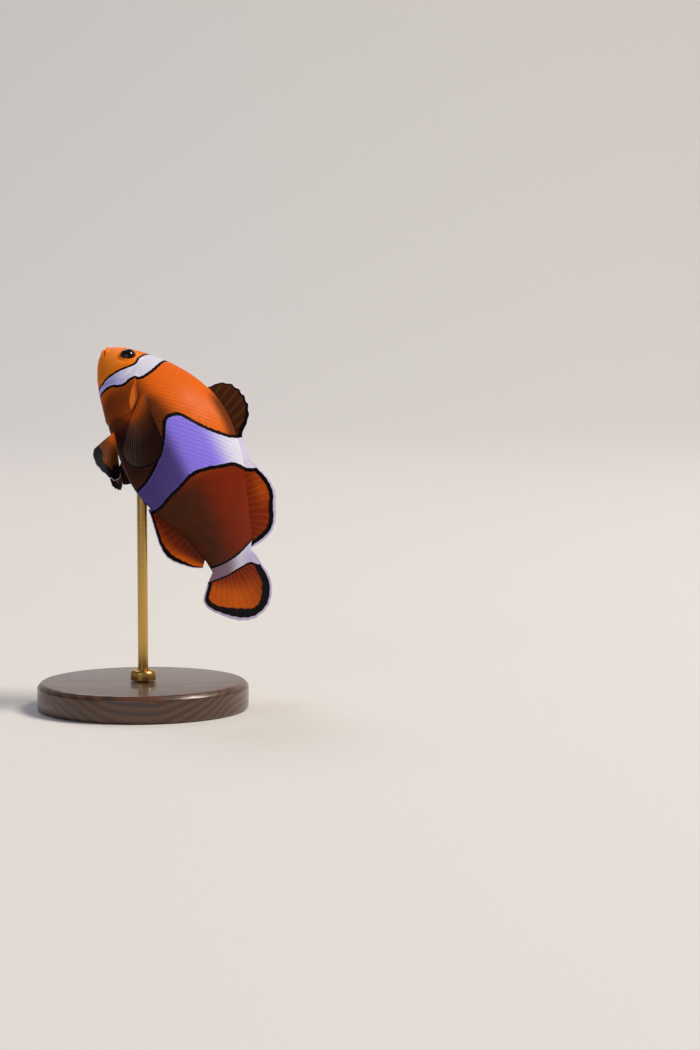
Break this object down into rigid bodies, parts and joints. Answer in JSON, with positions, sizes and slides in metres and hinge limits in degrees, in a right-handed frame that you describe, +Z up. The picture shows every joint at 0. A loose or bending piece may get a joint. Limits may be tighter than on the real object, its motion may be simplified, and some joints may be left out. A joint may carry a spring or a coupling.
{
  "type": "clownfish",
  "caption": "Life-size still model of a common clownfish turning as it swims, orange with white black-edged bands, held on a round display stand.",
  "frame": {"origin": "centre of the round base's underside, on the floor", "axes": "+Z up, along the stand's rod; the fish noses up and to -X with its left side to -Y"},
  "size_m": [0.0563, 0.0517, 0.086],
  "materials": {
    "skin": "small overlapping scales with a wet satin gloss; orange with white, black-edged bands",
    "fin": "thin rayed membrane, orange with a black margin and a pale rim",
    "eye": "clear glossy cornea over a dark pupil and an orange-brown iris",
    "walnut": "turned dark walnut, satin lacquer",
    "brass": "satin brass"
  },
  "bodies": {
    "root": {"head": "skin", "lower_jaw": "skin", "gill_cover_left": "skin", "gill_cover_right": "skin", "trunk": "skin", "tail": "skin", "dorsal_fin_spiny": "fin", "dorsal_fin_soft": "fin", "anal_fin": "fin", "caudal_fin": "fin", "pectoral_fin_left": "fin", "pectoral_fin_right": "fin", "pelvic_fin_left": "fin", "pelvic_fin_right": "fin", "eye_left": "eye", "eye_right": "eye", "stand_base": "walnut", "stand_collar": "brass", "stand_rod": "brass"}
  },
  "joints": []
}
